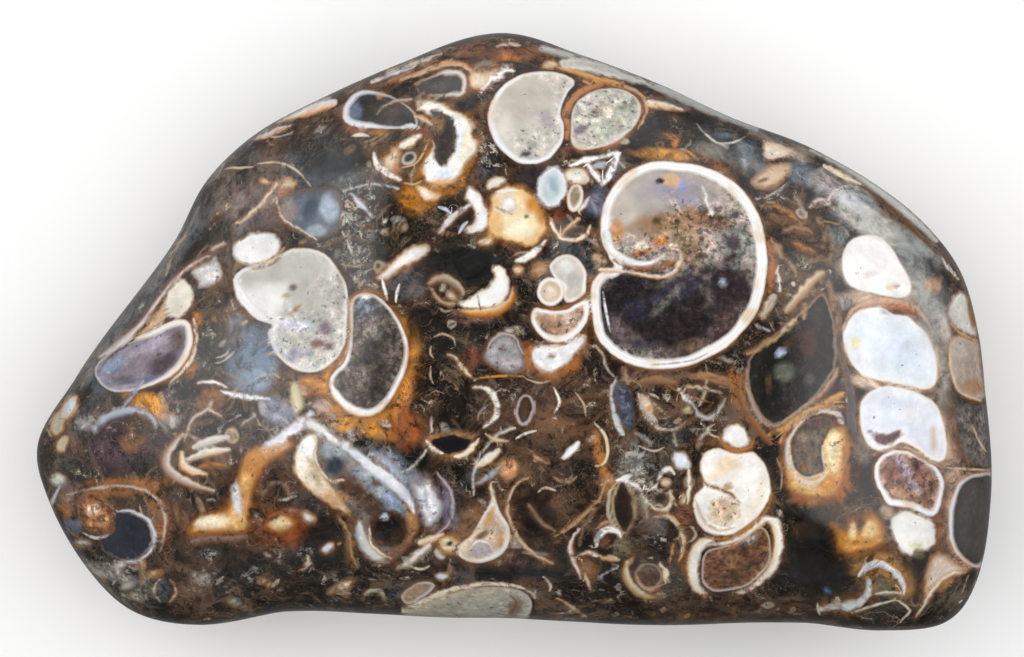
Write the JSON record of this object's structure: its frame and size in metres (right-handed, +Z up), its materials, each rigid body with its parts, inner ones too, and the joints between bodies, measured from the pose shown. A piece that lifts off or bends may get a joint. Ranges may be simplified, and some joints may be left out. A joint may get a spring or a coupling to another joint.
{
  "type": "tumbled turritella agate",
  "caption": "Polished pebble of fossil snail agate, a broad uneven lozenge that lies on its flat underside with its widest face up.",
  "frame": {"origin": "middle of the bounding box in plan, at the height of the surface that the stone rests on", "axes": "+X along the stone's length towards its blunt end, +Z up through its broad polished face, +Y towards its peaked side"},
  "size_m": [0.035, 0.0218, 0.0129],
  "materials": {
    "agate": "polished"
  },
  "bodies": {
    "root": {"stone": "agate"}
  },
  "joints": []
}
